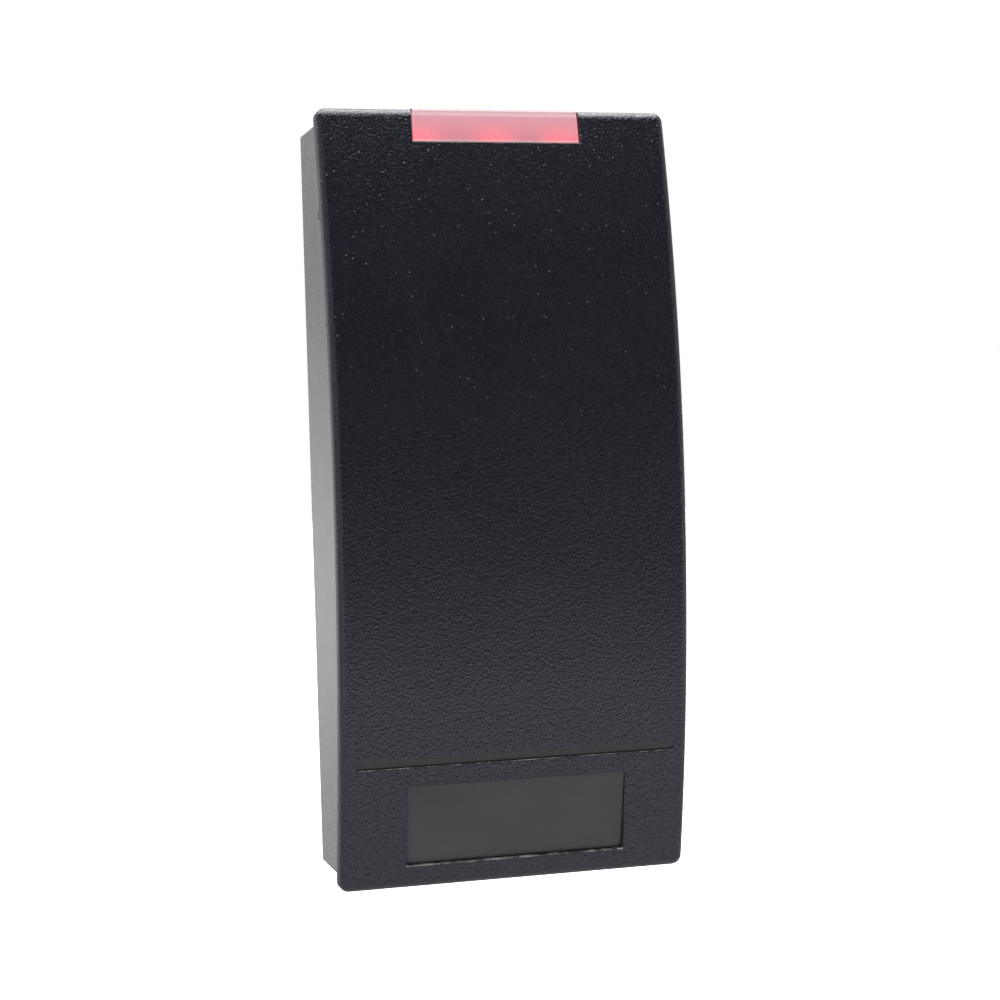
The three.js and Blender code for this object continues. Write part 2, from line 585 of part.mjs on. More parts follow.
const processor = { at: [-5.5, 7], width: 7, height: 7, thickness: 1.2, leads: 8, pitch: 0.8, fourSides: true };
const radioChip = { at: [8, 8], width: 4, height: 9.9, thickness: 1.5, leads: 8, pitch: 1.27 };
const lineDriver = { at: [8.5, -6], width: 4, height: 4.9, thickness: 1.5, leads: 4, pitch: 1.27 };
place(electronics, "microcontroller", chip(processor), chipBlack);
place(electronics, "radio_chip", chip(radioChip), chipBlack);
place(electronics, "line_driver_chip", chip(lineDriver), chipBlack);
place(electronics, "crystal", crystal([-5.5, 17.5]), canAluminium);
place(electronics, "voltage_regulator", regulator([9, -17.5]), chipBlack);
place(electronics, "power_inductor", powerInductor([8.5, 20]), chipBlack);
[[-9.5, 24.6], [0.6, -3.8]].forEach((at, i) =>
  place(electronics, `filter_capacitor_${i + 1}`, canCapacitor(at), canAluminium),
);
place(electronics, "terminal_block", terminalBlock(), terminalGreen);
terminalX.forEach((x, i) => place(electronics, `terminal_screw_${i + 1}`, terminalScrew(x), zincSteel));
place(electronics, "tamper_switch", tamperSwitch(), chipBlack);
place(electronics, "tamper_plunger", tamperPlunger(), plungerWhite);

reader.add(wallSide, shell, electronics);

export default reader;
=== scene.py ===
"""Looks of the wall-mounted card reader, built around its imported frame.

Shapes are drawn in millimetres as (x, depth, z), where depth is the distance in front of the wall,
and become metres with y = -depth when a mesh is made.
"""

import json
import math

import bmesh
import bpy
from mathutils import Matrix, Vector
from mathutils.geometry import delaunay_2d_cdt


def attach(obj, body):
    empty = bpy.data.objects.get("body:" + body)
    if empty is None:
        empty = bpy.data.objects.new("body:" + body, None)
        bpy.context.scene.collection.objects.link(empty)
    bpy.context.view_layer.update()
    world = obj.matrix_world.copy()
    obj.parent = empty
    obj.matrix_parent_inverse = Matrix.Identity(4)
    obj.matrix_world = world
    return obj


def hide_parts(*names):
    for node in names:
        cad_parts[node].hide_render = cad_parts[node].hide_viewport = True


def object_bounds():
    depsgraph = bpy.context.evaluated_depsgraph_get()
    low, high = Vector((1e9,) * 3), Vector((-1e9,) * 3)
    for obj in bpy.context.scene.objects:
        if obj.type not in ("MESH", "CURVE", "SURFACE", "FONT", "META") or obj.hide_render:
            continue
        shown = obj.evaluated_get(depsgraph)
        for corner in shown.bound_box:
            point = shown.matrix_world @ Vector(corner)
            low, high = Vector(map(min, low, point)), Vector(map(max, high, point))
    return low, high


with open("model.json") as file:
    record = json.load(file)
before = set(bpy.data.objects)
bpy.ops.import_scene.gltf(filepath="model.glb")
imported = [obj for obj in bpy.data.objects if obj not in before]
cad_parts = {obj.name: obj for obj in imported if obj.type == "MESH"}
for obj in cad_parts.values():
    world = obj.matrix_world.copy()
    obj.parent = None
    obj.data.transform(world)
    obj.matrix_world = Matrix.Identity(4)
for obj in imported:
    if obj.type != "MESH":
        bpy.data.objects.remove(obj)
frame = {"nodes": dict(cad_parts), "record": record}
cad_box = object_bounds()

MM = 0.001

# ---------------------------------------------------------------- sizes, in millimetres

HALF_WIDTH = cad_box[1].x / MM
HALF_HEIGHT = cad_box[1].z / MM
CROWN_DEPTH = -cad_box[0].y / MM
FACE_SAGITTA = 5.6
ARC_RADIUS = (HALF_HEIGHT**2 + FACE_SAGITTA**2) / (2 * FACE_SAGITTA)
EDGE_MIDDLE = 2.4
EDGE_END = 2.9
COVER_CORNER = 1.3
FILLET = 1.1

LENS_CENTRE = 0.2
LENS_HALF_WIDTH = 11.37
LENS_BOTTOM = 47.21
LENS_DROP = 0.1
LENS_GAP = 0.2
LENS_EDGE = 0.2
LENS_FILLET = 0.5
LENS_RISE = 0.1  # how far the lens stands above the cover's top
LENS_LEG = ((43.0, 48.0), (2.4, 3.4))  # lowest and highest z, and least and most distance behind the face

LABEL_HALF_WIDTH = 15.05
LABEL_Z = (-48.35, -37.5)
LABEL_CORNER = 0.5
LABEL_DROP = (0.60, 0.14)  # how far below the cover's face the nameplate lies, at its bottom and top
LABEL_THICKNESS = 0.4

GROOVE_HALF_WIDTH = 21.9
GROOVE_Z = (-35.0, -33.85)
GROOVE_CORNER = 0.2
GROOVE_DEPTH = 0.34

CAVITY = (21.7, 48.35)  # half width and half height of the housing's hollow
SPIGOT_GAP = 0.3
SPIGOT_WIDTH = 1.2
SPIGOT_LENGTH = 2.0
SEAL_GROOVE = ((23.3, 49.95), (21.6, 48.25), 1.1)  # outer and inner half sizes, and depth
BOSS = (17.8, 44.55, 2.6, 1.15)  # x, z, outer and bore radius
BOSS_BACK = 6.3
PILOT_END = 13.6
BOSS_SIDES = 32
TAB = (36.9, 38.7, 1.2)  # lowest and highest z, and length

SCRATCH_SIZE = 0.12
GRAIN_CELL = 0.42
GRAIN_CREASE = 0.26
# spacing of the pale specks that are painted glints
GLINT_CELL = 0.85
TRACK_PITCH = 0.5
WIRE_PITCH = 0.2
LED_SPOTS = (-10.2, -0.2, 9.0)  # where along the lens its painted glow is reddest
LED_SPOT_REACH = 4.4


def face_depth(z):
    return CROWN_DEPTH - ARC_RADIUS + math.sqrt(ARC_RADIUS**2 - z**2)


def rim_depth(z):
    return face_depth(z) - EDGE_MIDDLE - (EDGE_END - EDGE_MIDDLE) * (z / HALF_HEIGHT) ** 2


def label_drop(z):
    share = (z - LABEL_Z[0]) / (LABEL_Z[1] - LABEL_Z[0])
    return LABEL_DROP[0] + (LABEL_DROP[1] - LABEL_DROP[0]) * share


# ---------------------------------------------------------------- mesh building


class Shell:
    """Gathers rings of points, the strips between them and the sheets that close them."""

    def __init__(self):
        self.points = []
        self.faces = []

    def ring(self, points):
        start = len(self.points)
        self.points += points
        return list(range(start, len(self.points)))

    def strip(self, a, b):
        """Joins two closed rings of as many points with a band of faces."""
        for i in range(len(a)):
            j = (i + 1) % len(a)
            self.faces.append((a[i], a[j], b[j], b[i]))

    def rings(self, *profiles):
        """Joins rings that follow each other and returns the first and the last."""
        made = [self.ring(p) for p in profiles]
        for a, b in zip(made, made[1:]):
            self.strip(a, b)
        return made[0], made[-1]

    def cap(self, ring):
        self.faces.append(tuple(ring))

    def sheet(self, outer, holes, depth_at, spacing):
        """Fills the space between an outer ring and its holes with a fine sheet on a surface."""
        loops = [outer, *holes]
        flat, ids, edges = [], [], []
        for loop in loops:
            start = len(flat)
            flat += [Vector((self.points[i][0], self.points[i][2])) for i in loop]
            ids += loop
            edges += [(start + i, start + (i + 1) % len(loop)) for i in range(len(loop))]
        polygons = [[flat[k] for k in span] for span in _spans(loops)]
        border = len(flat)
        flat += _inner_points(polygons, spacing)
        verts, _, tris, origins, _, _ = delaunay_2d_cdt(flat, edges, [], 0, 1e-5)
        names = {}
        for new, old in enumerate(origins):
            known = [k for k in old if k < border]
            if known:
                names[new] = ids[known[0]]
            else:
                x, z = verts[new]
                names[new] = self.ring([(x, depth_at(x, z), z)])[0]
        for tri in tris:
            centre = sum((verts[k] for k in tri), Vector((0, 0))) / 3
            if _inside(centre, polygons[0]) and not any(_inside(centre, p) for p in polygons[1:]):
                self.faces.append(tuple(names[k] for k in tri))

    def piece(self, name, sharp=32.0):
        mesh = bpy.data.meshes.new(name)
        mesh.from_pydata([(x * MM, -d * MM, z * MM) for x, d, z in self.points], [], self.faces)
        return finished(name, mesh, sharp)


def _spans(loops):
    start = 0
    for loop in loops:
        yield range(start, start + len(loop))
        start += len(loop)


def _inside(point, polygon):
    x, y = point
    hit = False
    for a, b in zip(polygon, polygon[1:] + polygon[:1]):
        if (a.y > y) != (b.y > y) and x < (b.x - a.x) * (y - a.y) / (b.y - a.y) + a.x:
            hit = not hit
    return hit


def _inner_points(polygons, spacing):
    """A staggered grid of points that keeps clear of every border."""
    outer = polygons[0]
    low = Vector((min(p.x for p in outer), min(p.y for p in outer)))
    high = Vector((max(p.x for p in outer), max(p.y for p in outer)))
    rows = round((high.y - low.y) / (spacing * 0.866))
    columns = round((high.x - low.x) / spacing)
    kept = []
    for r in range(1, rows):
        for c in range(columns):
            x = low.x + (c + 0.25 + 0.5 * (r % 2)) * spacing
            point = Vector((x, low.y + r * (high.y - low.y) / rows))
            if not _inside(point, outer) or any(_inside(point, p) for p in polygons[1:]):
                continue
            if all(_clear(point, polygon, spacing * 0.55) for polygon in polygons):
                kept.append(point)
    return kept


def _clear(point, polygon, distance):
    for a, b in zip(polygon, polygon[1:] + polygon[:1]):
        along = b - a
        share = max(0.0, min(1.0, (point - a).dot(along) / max(along.length_squared, 1e-12)))
        if (point - a - along * share).length < distance:
            return False
    return True


def rounded(half_x, low_z, high_z, corner, steps=6, centre_x=0.0, sides=1):
    """The outline of a rectangle with round corners, anticlockwise, as (x, z)."""
    points = []
    quarter = math.pi / 2
    corners = (
        (half_x - corner, low_z + corner, -quarter),
        (half_x - corner, high_z - corner, 0),
        (corner - half_x, high_z - corner, quarter),
        (corner - half_x, low_z + corner, 2 * quarter),
    )
    for x, z, start in corners:
        for i in range(steps + 1):
            turn = start + quarter * i / steps
            points.append((centre_x + x + corner * math.cos(turn), z + corner * math.sin(turn)))
    return densified(points, sides) if sides > 1 else points


def between(a, b, parts):
    """The points that cut the line from a to b into equal parts, without its ends."""
    return [(a[0] + (b[0] - a[0]) * k / parts, a[1] + (b[1] - a[1]) * k / parts) for k in range(1, parts)]


def densified(points, longest):
    """The same outline with no side longer than the given length."""
    result = []
    for a, b in zip(points, points[1:] + points[:1]):
        result += [a, *between(a, b, max(1, math.ceil(math.dist(a, b) / longest)))]
    return result


def evenly_cut(points, across, up):
    """A rounded rectangle's outline with its level and upright sides cut into so many parts,
    so that outlines of different sizes have as many points."""
    steps = len(points) // 4
    result = []
    for i, a in enumerate(points):
        result.append(a)
        if i % steps == steps - 1:
            parts = up if i // steps in (0, 2) else across
            result += between(a, points[(i + 1) % len(points)], parts)
    return result


def finished(name, mesh, sharp):
    """Links a mesh as a piece, with its faces out, smooth, and sharp past an angle."""
    work = bmesh.new()
    work.from_mesh(mesh)
    bmesh.ops.remove_doubles(work, verts=work.verts, dist=1e-7)
    bmesh.ops.recalc_face_normals(work, faces=work.faces)
    work.to_mesh(mesh)
    work.free()
    mesh.shade_smooth()
    mesh.set_sharp_from_angle(angle=math.radians(sharp))
    piece = bpy.data.objects.new(name, mesh)
    bpy.context.scene.collection.objects.link(piece)
    return piece


def weighted(piece):
    """Lets the large faces lead the shading, so that the narrow roundings stay crisp."""
    modifier = piece.modifiers.new("weighted", "WEIGHTED_NORMAL")
    modifier.mode = "FACE_AREA"
    modifier.keep_sharp = True


def cut(piece, *tools):
    """Subtracts closed tool meshes from a piece for good."""
    for tool in tools:
        modifier = piece.modifiers.new("cut", "BOOLEAN")
        modifier.operation = "DIFFERENCE"
        modifier.solver = "EXACT"
        modifier.object = tool
        graph = bpy.context.evaluated_depsgraph_get()
        result = bpy.data.meshes.new_from_object(piece.evaluated_get(graph))
        piece.modifiers.clear()
        piece.data = result
        bpy.data.objects.remove(tool)


def show(piece, body, slot, look, *nodes):
    """Gives a piece its body, finish and material, in place of its CAD nodes."""
    piece.data.materials.clear()
    piece.data.materials.append(look)
    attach(piece, body)
    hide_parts(*nodes)


def bevelled(node, body, slot, look, width=0.15, segments=2, angle=30.0):
    """A copy of a CAD node with its flat faces joined and its edges rounded."""
    mesh = frame["nodes"][node].data.copy()
    mesh.materials.clear()
    work = bmesh.new()
    work.from_mesh(mesh)
    bmesh.ops.remove_doubles(work, verts=work.verts, dist=2e-6)
    bmesh.ops.dissolve_limit(work, angle_limit=math.radians(0.4), verts=work.verts, edges=work.edges)
    work.to_mesh(mesh)
    work.free()
    if "custom_normal" in mesh.attributes:
        mesh.attributes.remove(mesh.attributes["custom_normal"])
    piece = finished(f"{node}_fine", mesh, angle)
    rounding = piece.modifiers.new("rounding", "BEVEL")
    rounding.width = width * MM
    rounding.segments = segments
    rounding.limit_method = "ANGLE"
    rounding.angle_limit = math.radians(angle)
    rounding.use_clamp_overlap = True
    rounding.harden_normals = False
    weighted(piece)
    show(piece, body, slot, look, node)
    return piece


# ---------------------------------------------------------------- materials


def new_material(name):
    material = bpy.data.materials.new(name)
    material.use_nodes = True
    tree = material.node_tree
    return material, tree, tree.nodes["Principled BSDF"]


def add(tree, kind, inputs=None, **settings):
    """A node with its settings and inputs; an input that is a socket is linked."""
    node = tree.nodes.new(kind)
    for key, value in settings.items():
        setattr(node, key, value)
    for key, value in (inputs or {}).items():
        if isinstance(value, bpy.types.NodeSocket):
            tree.links.new(value, node.inputs[key])
        else:
            node.inputs[key].default_value = value
    return node


def place_of(tree):
    return add(tree, "ShaderNodeTexCoord").outputs["Object"]


def noise(tree, scale_mm, detail=2.0, roughness=0.5, distortion=0.0, vector=None):
    """Noise whose features are about scale_mm across."""
    inputs = {
        "Vector": vector or place_of(tree),
        "Scale": 1.0 / (scale_mm * MM),
        "Detail": detail,
        "Roughness": roughness,
        "Distortion": distortion,
    }
    return add(tree, "ShaderNodeTexNoise", inputs).outputs["Fac"]


def ramp(tree, value, stops):
    node = add(tree, "ShaderNodeValToRGB", {"Fac": value})
    elements = node.color_ramp.elements
    while len(elements) < len(stops):
        elements.new(0.5)
    for element, (position, colour) in zip(elements, stops):
        element.position = position
        element.color = colour if len(colour) == 4 else (*colour, 1.0)
    return node.outputs["Color"]


def grey(value):
    return (value, value, value)


def grey_ramp(tree, value, *stops):
    return ramp(tree, value, [(position, grey(level)) for position, level in stops])


def mathed(tree, operation, a, b=None):
    inputs = {0: a} if b is None else {0: a, 1: b}
    return add(tree, "ShaderNodeMath", inputs, operation=operation).outputs[0]


def mapped(tree, value, low, high, to_low, to_high):
    inputs = {"Value": value, "From Min": low, "From Max": high, "To Min": to_low, "To Max": to_high}
    return add(tree, "ShaderNodeMapRange", inputs, clamp=True).outputs["Result"]


def smoothed(tree, value, low, high, to_low, to_high):
    inputs = {"Value": value, "From Min": low, "From Max": high, "To Min": to_low, "To Max": to_high}
    node = add(tree, "ShaderNodeMapRange", inputs, clamp=True, interpolation_type="SMOOTHSTEP")
    return node.outputs["Result"]


def mixed(tree, blend, factor, first, second):
    inputs = {"Fac": factor, "Color1": first, "Color2": second}
    return add(tree, "ShaderNodeMixRGB", inputs, blend_type=blend).outputs["Color"]


def bump(tree, height, distance_mm, strength=1.0, normal=None):
    inputs = {"Height": height, "Distance": distance_mm * MM, "Strength": strength}
    if normal is not None:
        inputs["Normal"] = normal
    return add(tree, "ShaderNodeBump", inputs).outputs["Normal"]


def feed(tree, shader, **sockets):
    names = {"colour": "Base Color", "roughness": "Roughness", "normal": "Normal"}
    for key, socket in sockets.items():
        tree.links.new(socket, shader.inputs[names[key]])


def leather_grain_plastic(name, roughness, specular, depth_mm):
    """Moulded black with a leather grain: fine irregular creases, painted shade darkening the creases between
    pebbles, and pale specks on the upper half that are painted glints.
    """
    material, tree, shader = new_material(name)
    place = place_of(tree)
    wander = add(tree, "ShaderNodeTexNoise", {"Vector": place, "Scale": 1100.0, "Detail": 2.0})
    wandering = mixed(tree, "ADD", 0.0007, place, wander.outputs["Color"])
    cells = add(
        tree,
        "ShaderNodeTexVoronoi",
        {"Vector": wandering, "Scale": 1.0 / (GRAIN_CELL * MM), "Smoothness": 0.35},
        feature="SMOOTH_F1",
    ).outputs["Distance"]
    pebbles = mapped(tree, cells, 0.1, 0.75, 1.0, 0.0)
    creases = noise(tree, GRAIN_CREASE, 2.0, 0.55, 0.6, place)
    height_up = add(tree, "ShaderNodeSeparateXYZ", {"Vector": place}).outputs["Z"]
    relief = mapped(tree, height_up, -42 * MM, -20 * MM, 1.4, 0.62)
    height = mathed(tree, "ADD", pebbles, mathed(tree, "MULTIPLY", creases, 2.0))
    normal = bump(tree, mathed(tree, "MULTIPLY", height, relief), depth_mm, 1.0)
    broad = noise(tree, 9.0, 2.0, 0.5, 0.0, place)
    # darker in the creases between pebbles: painted shade, mixed with a broad random tone
    tone = mathed(tree, "ADD", mathed(tree, "MULTIPLY", pebbles, 0.45), mathed(tree, "MULTIPLY", broad, 0.55))
    plain = ramp(tree, tone, [(0.15, (0.0100, 0.0108, 0.0168)), (0.85, (0.0168, 0.0176, 0.0252))])
    # pale specks, only on the upper half: painted glints standing in for light caught by the grain
    glint_cells = add(tree, "ShaderNodeTexVoronoi", {"Vector": place, "Scale": 1.0 / (GLINT_CELL * MM)})
    near = smoothed(tree, glint_cells.outputs["Distance"], 0.03, 0.13, 1.0, 0.0)
    chance = add(tree, "ShaderNodeSeparateColor", {"Color": glint_cells.outputs["Color"]}).outputs["Red"]
    above = smoothed(tree, height_up, -8 * MM, 34 * MM, 0.0, 1.0)
    glint_odds = mathed(tree, "MULTIPLY", above, mapped(tree, chance, 0.40, 1.0, 0.0, 1.0))
    painted_glints = mathed(tree, "MULTIPLY", near, glint_odds)
    colour = mixed(tree, "MIX", painted_glints, plain, (0.50, 0.51, 0.54, 1.0))
    rough = mapped(tree, creases, 0.35, 0.65, roughness + 0.06, roughness - 0.05)
    feed(tree, shader, colour=colour, roughness=rough, normal=normal)
    shader.inputs["Specular IOR Level"].default_value = specular
    shader.inputs["Specular Tint"].default_value = (0.91, 0.94, 1.0, 1.0)
    return material


def satin_plastic(name, low, high, roughness=0.32, grain=0.010, specular=0.5):
    """Smooth moulded plastic with the faint orange peel and fine speckle of a polished tool."""
    material, tree, shader = new_material(name)
    peel = noise(tree, 2.6, 2.0)
    speckle = noise(tree, 0.16, 3.0, 0.65)
    broad = noise(tree, 14.0, 3.0, 0.55)
    colour = ramp(tree, broad, [(0.3, low), (0.7, high)])
    rough = mapped(tree, speckle, 0.3, 0.7, roughness - 0.05, roughness + 0.07)
    normal = bump(tree, speckle, grain, 0.35, bump(tree, peel, 0.02, 0.25))
    feed(tree, shader, colour=colour, roughness=rough, normal=normal)
    shader.inputs["Specular IOR Level"].default_value = specular
    return material


def painted_edge_highlight():
    """Black plastic whose sharp lip carries a pale painted highlight in broken patches."""
    material, tree, shader = new_material("painted_edge_highlight")
    patches = noise(tree, 2.2, 4.0, 0.75)
    # pale patches: painted highlight along the lip
    colour = ramp(tree, patches, [(0.44, (0.050, 0.051, 0.056)), (0.58, (0.420, 0.422, 0.430))])
    feed(tree, shader, colour=colour, roughness=mapped(tree, patches, 0.3, 0.7, 0.5, 0.3))
    return material


def lit_lens():
    """Milky light pipe with a painted glow that it emits by itself: pale above, and red at three spots of its
    lower edge.

    Painted highlights brighten its lower edge and its sides, and along its top edge a painted highlight turns
    to painted shade over the crest. No light comes from the LED pieces behind it.
    """
    material, tree, shader = new_material("lit_lens")
    split = add(tree, "ShaderNodeSeparateXYZ", {"Vector": place_of(tree)})
    across, inward, up = split.outputs["X"], split.outputs["Y"], split.outputs["Z"]
    spots = None
    for x in LED_SPOTS:
        away = mathed(tree, "ABSOLUTE", mathed(tree, "SUBTRACT", across, x * MM))
        spot = smoothed(tree, away, 0.0, LED_SPOT_REACH * MM, 1.0, 0.0)
        spots = spot if spots is None else mathed(tree, "MAXIMUM", spots, spot)
    # red spots: painted glow where the LEDs would light the lens
    hot = mathed(tree, "MULTIPLY", spots, smoothed(tree, up, 46.9 * MM, 50.4 * MM, 1.0, 0.0))
    cloud = mapped(tree, noise(tree, 3.2, 2.0, 0.5), 0.3, 0.7, 0.0, 0.12)
    height = mathed(tree, "ADD", mapped(tree, up, 47.2 * MM, 50.6 * MM, 0.0, 0.88), cloud)
    body_stops = [(0.0, (0.51, 0.132, 0.170)), (0.55, (0.55, 0.198, 0.240)), (1.0, (0.55, 0.248, 0.285))]
    body = ramp(tree, height, body_stops)
    reddened = mixed(tree, "ADD", hot, body, (0.34, 0.0, 0.004, 1.0))
    # a pale line along the lower edge: painted highlight
    foot = mapped(tree, up, 47.33 * MM, 47.50 * MM, 1.0, 0.0)
    with_foot_highlight = mixed(tree, "ADD", foot, reddened, (0.02, 0.17, 0.15, 1.0))
    # paler sides: painted highlights on the lens's edges
    flank = mathed(tree, "ABSOLUTE", mathed(tree, "SUBTRACT", across, LENS_CENTRE * MM))
    at_sides = mapped(tree, flank, 11.05 * MM, 11.3 * MM, 0.0, 1.0)
    with_side_highlights = mixed(tree, "ADD", at_sides, with_foot_highlight, (0.10, 0.05, 0.06, 1.0))
    # along the top edge: painted highlight that turns to painted shade over the crest
    brow_stops = [(0.0, (0.69, 0.44, 0.48)), (0.55, (0.58, 0.40, 0.40)), (1.0, (0.20, 0.08, 0.08))]
    brow = ramp(tree, mapped(tree, up, 50.75 * MM, 51.4 * MM, 0.0, 1.0), brow_stops)
    emitted = mixed(tree, "MIX", mapped(tree, up, 50.5 * MM, 50.8 * MM, 0.0, 1.0), with_side_highlights, brow)
    glow = mapped(tree, inward, -15.9 * MM, -15.2 * MM, 1.0, 0.25)
    frost = noise(tree, 0.2, 2.0)
    surface = ramp(tree, frost, [(0.3, (0.20, 0.11, 0.125)), (0.7, (0.215, 0.12, 0.135))])
    normal = bump(tree, frost, 0.006, 0.4)
    rough = mapped(tree, frost, 0.3, 0.7, 0.26, 0.36)
    feed(tree, shader, colour=surface, roughness=rough, normal=normal)
    tree.links.new(emitted, shader.inputs["Emission Color"])
    tree.links.new(glow, shader.inputs["Emission Strength"])
    return material


def rubber():
    material, tree, shader = new_material("seal_rubber")
    speckle = noise(tree, 0.3, 3.0, 0.6)
    feed(
        tree,
        shader,
        colour=ramp(tree, speckle, [(0.3, grey(0.12)), (0.7, grey(0.19))]),
        roughness=mapped(tree, speckle, 0.3, 0.7, 0.75, 0.9),
        normal=bump(tree, speckle, 0.02, 0.5),
    )
    return material


def track_lines(tree, coordinate):
    """Parallel tracks across one coordinate: 1 where there is copper."""
    away = mathed(tree, "PINGPONG", coordinate, TRACK_PITCH * MM)
    return mapped(tree, away, 0.14 * MM, 0.18 * MM, 1.0, 0.0)


def circuit_board():
    """Green solder resist over copper tracks, which show as slightly raised paler lines."""
    material, tree, shader = new_material("circuit_board")
    place = place_of(tree)
    split = add(tree, "ShaderNodeSeparateXYZ", {"Vector": place})
    upright = track_lines(tree, split.outputs["X"])
    level = track_lines(tree, split.outputs["Z"])
    areas = add(
        tree, "ShaderNodeTexVoronoi", {"Vector": place, "Scale": 1.0 / (4.2 * MM)}, distance="CHEBYCHEV"
    ).outputs["Color"]
    choice = add(tree, "ShaderNodeSeparateColor", {"Color": areas}).outputs["Red"]
    is_upright = mathed(tree, "GREATER_THAN", choice, 0.5)
    tracks = mathed(
        tree,
        "ADD",
        mathed(tree, "MULTIPLY", upright, is_upright),
        mathed(tree, "MULTIPLY", level, mathed(tree, "SUBTRACT", 1.0, is_upright)),
    )
    weave = noise(tree, 0.5, 2.0)
    colour = ramp(tree, tracks, [(0.0, (0.006, 0.060, 0.022)), (1.0, (0.020, 0.135, 0.050))])
    feed(
        tree,
        shader,
        colour=colour,
        roughness=mapped(tree, weave, 0.3, 0.7, 0.25, 0.4),
        normal=bump(tree, mathed(tree, "ADD", tracks, mathed(tree, "MULTIPLY", weave, 0.2)), 0.03, 0.6),
    )
    return material


def wound_copper():
    """Enamelled wire, laid turn on turn, with painted shade between the turns."""
    material, tree, shader = new_material("wound_copper")
    split = add(tree, "ShaderNodeSeparateXYZ", {"Vector": place_of(tree)})
    wire = mathed(tree, "SINE", mathed(tree, "MULTIPLY", split.outputs["Y"], 2 * math.pi / (WIRE_PITCH * MM)))
    # each turn darker towards its sides: painted shade between the turns
    turns = mapped(tree, wire, -1.0, 1.0, 0.0, 1.0)
    feed(
        tree,
        shader,
        colour=ramp(tree, turns, [(0.0, (0.20, 0.050, 0.020)), (0.6, (0.62, 0.22, 0.08))]),
        roughness=mapped(tree, noise(tree, 1.5), 0.3, 0.7, 0.25, 0.4),
        normal=bump(tree, turns, 0.05, 0.8),
    )
    shader.inputs["Metallic"].default_value = 0.85
    return material


def metal(name, low, high, roughness, stretch=(1.0, 1.0, 12.0)):
    """Bare or plated metal with fine drawn scratches."""
    material, tree, shader = new_material(name)
    stretched = add(tree, "ShaderNodeMapping", {"Vector": place_of(tree), "Scale": stretch}).outputs["Vector"]
    scratch = noise(tree, SCRATCH_SIZE, 3.0, 0.6, 0.0, stretched)
    blotch = noise(tree, 1.6, 2.0)
    feed(
        tree,
        shader,
        colour=ramp(tree, blotch, [(0.3, low), (0.7, high)]),
        roughness=mapped(tree, scratch, 0.3, 0.7, roughness - 0.08, roughness + 0.1),
        normal=bump(tree, scratch, 0.006, 0.5),
    )
    shader.inputs["Metallic"].default_value = 1.0
    return material


cover_look = leather_grain_plastic("leather_grain_black", 0.22, 0.42, 0.055)
edge_look = leather_grain_plastic("leather_grain_edge", 0.42, 0.34, 0.10)
smooth_look = satin_plastic("moulded_black", (0.0120, 0.0125, 0.0170), (0.0170, 0.0175, 0.0230), 0.30, 0.010)
housing_look = satin_plastic("satin_black", (0.0125, 0.0125, 0.0135), (0.0175, 0.0175, 0.0185), 0.20, 0.16)
# paler than the cover: painted light lifting the shade in the groove and recess
lifted_hollow_look = satin_plastic(
    "hollow_black_painted_lift", (0.0230, 0.0235, 0.0280), (0.0290, 0.0295, 0.0350), 0.50, 0.02, 0.3
)
# red on the notch walls: painted light from the lens
lens_glow_look = satin_plastic("painted_lens_glow_black", (0.085, 0.012, 0.020), (0.105, 0.016, 0.026), 0.45, 0.01, 0.3)
edge_highlight_look = painted_edge_highlight()
plate_look = satin_plastic("plate_black", (0.0140, 0.0140, 0.0150), (0.0210, 0.0210, 0.0220), 0.45, 0.02)
label_look = satin_plastic(
    "label_charcoal", (0.0160, 0.0165, 0.0222), (0.0302, 0.0307, 0.0385), 0.45, 0.03, 0.42
)
lens_look = lit_lens()
rubber_look = rubber()
board_look = circuit_board()
coil_look = wound_copper()
steel_look = metal("zinc_steel", (0.50, 0.51, 0.53), (0.62, 0.63, 0.65), 0.30)
can_look = metal("can_aluminium", (0.62, 0.63, 0.65), (0.72, 0.73, 0.74), 0.28, (1.0, 8.0, 1.0))
chip_look = satin_plastic("chip_epoxy", (0.0120, 0.0120, 0.0125), (0.0200, 0.0200, 0.0205), 0.55, 0.03)
former_look = satin_plastic("natural_nylon", (0.60, 0.58, 0.51), (0.70, 0.68, 0.61), 0.45)
led_look = satin_plastic("led_white", (0.78, 0.77, 0.72), (0.86, 0.85, 0.80), 0.30)
terminal_look = satin_plastic("terminal_green", (0.018, 0.150, 0.045), (0.028, 0.200, 0.062), 0.42)
plunger_look = satin_plastic("white_acetal", (0.70, 0.69, 0.64), (0.80, 0.79, 0.74), 0.30)

# ---------------------------------------------------------------- front cover

NOTCH_HALF_WIDTH = LENS_HALF_WIDTH + LENS_GAP
NOTCH_BOTTOM = LENS_BOTTOM - LENS_GAP / 2
NOTCH_EDGE = 0.15  # rounding of the notch's own edges
FILLET_STEPS = 7
RIM_ROUNDING = 0.22
GRAIN, SMOOTH, SIDE, HOLLOW, LENS_GLOW, PAINTED_HIGHLIGHT = range(6)  # the cover's looks, in order


